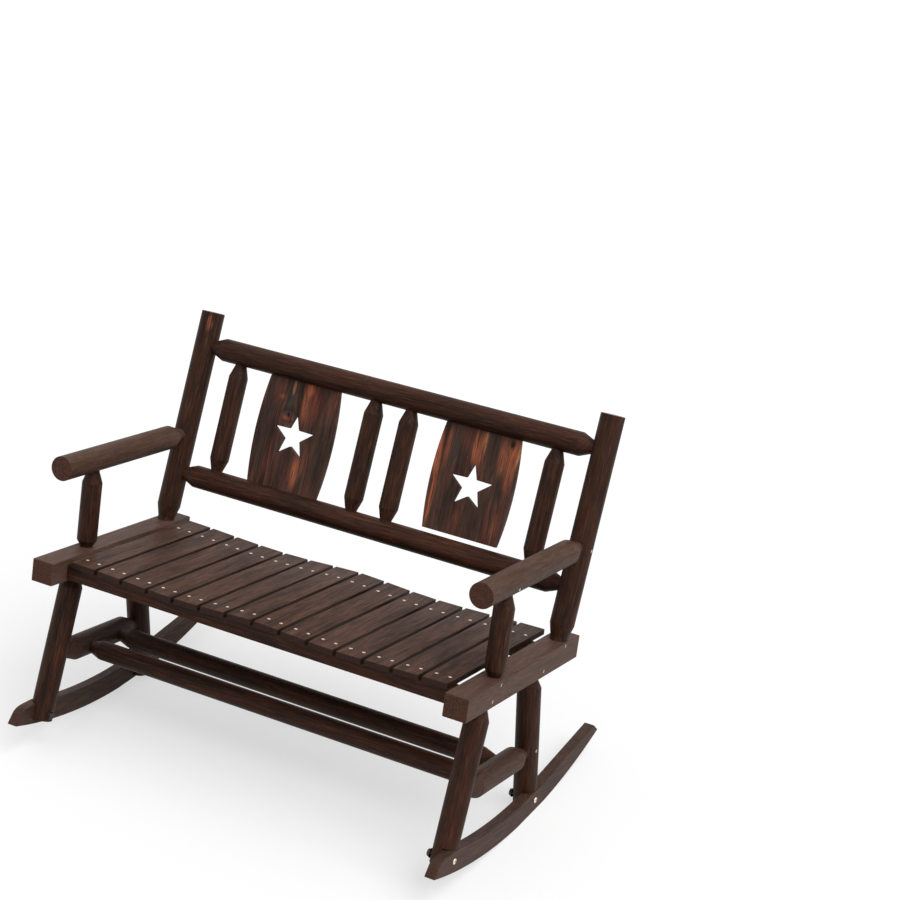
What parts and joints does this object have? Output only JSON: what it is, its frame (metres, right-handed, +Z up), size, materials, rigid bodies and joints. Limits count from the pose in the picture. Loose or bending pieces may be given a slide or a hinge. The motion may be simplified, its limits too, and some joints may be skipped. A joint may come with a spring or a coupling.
{
  "type": "rocking bench",
  "caption": "Rustic log rocking bench for two, with a slatted seat scooped for each sitter, log arms, and a back of spindles and star cut-out panels, on two curved rockers.",
  "frame": {"origin": "centre of the bench's box, on the floor under its rockers, at rest", "axes": "+X along the seat towards the right arm as seen from the front, +Y towards the back, +Z up"},
  "size_m": [1.248, 0.8942, 0.9586],
  "materials": {
    "logs": "carbonised fir log, oiled satin",
    "boards": "carbonised fir board, brushed satin",
    "panels": "torched fir board with red streaks, satin",
    "brass": "yellow zinc-plated steel",
    "steel": "dark zinc-plated steel"
  },
  "bodies": {
    "root": {"beam_left": "boards", "beam_right": "boards", "cross_rail_front": "boards", "cross_rail_rear": "boards", "slat_01": "boards", "slat_02": "boards", "slat_03": "boards", "slat_04": "boards", "slat_05": "boards", "slat_06": "boards", "slat_07": "boards", "slat_08": "boards", "slat_09": "boards", "slat_10": "boards", "slat_11": "boards", "slat_12": "boards", "slat_13": "boards", "slat_14": "boards", "rocker_left": "boards", "rocker_right": "boards", "leg_front_left": "logs", "leg_front_right": "logs", "leg_rear_left": "logs", "leg_rear_right": "logs", "side_stretcher_left": "logs", "side_stretcher_right": "logs", "long_stretcher_front": "logs", "long_stretcher_rear": "logs", "back_post_left": "logs", "back_post_right": "logs", "back_rail_upper": "logs", "back_rail_lower": "logs", "spindle_1": "logs", "spindle_2": "logs", "spindle_3": "logs", "spindle_4": "logs", "arm_left": "logs", "arm_right": "logs", "arm_post_left": "logs", "arm_post_right": "logs", "star_panel_left": "panels", "star_panel_right": "panels", "rocker_bolt_front_left": "brass", "rocker_bolt_front_right": "brass", "rocker_bolt_rear_left": "brass", "rocker_bolt_rear_right": "brass", "rocker_nut_front_left": "steel", "rocker_nut_front_right": "steel", "rocker_nut_rear_left": "steel", "rocker_nut_rear_right": "steel", "leg_screw_front_left": "brass", "leg_screw_front_right": "brass", "leg_screw_rear_left": "brass", "leg_screw_rear_right": "brass", "arm_post_screw_left": "brass", "arm_post_screw_right": "brass", "back_post_screw_left": "brass", "back_post_screw_right": "brass", "arm_screw_left": "brass", "arm_screw_right": "brass"}
  },
  "joints": []
}
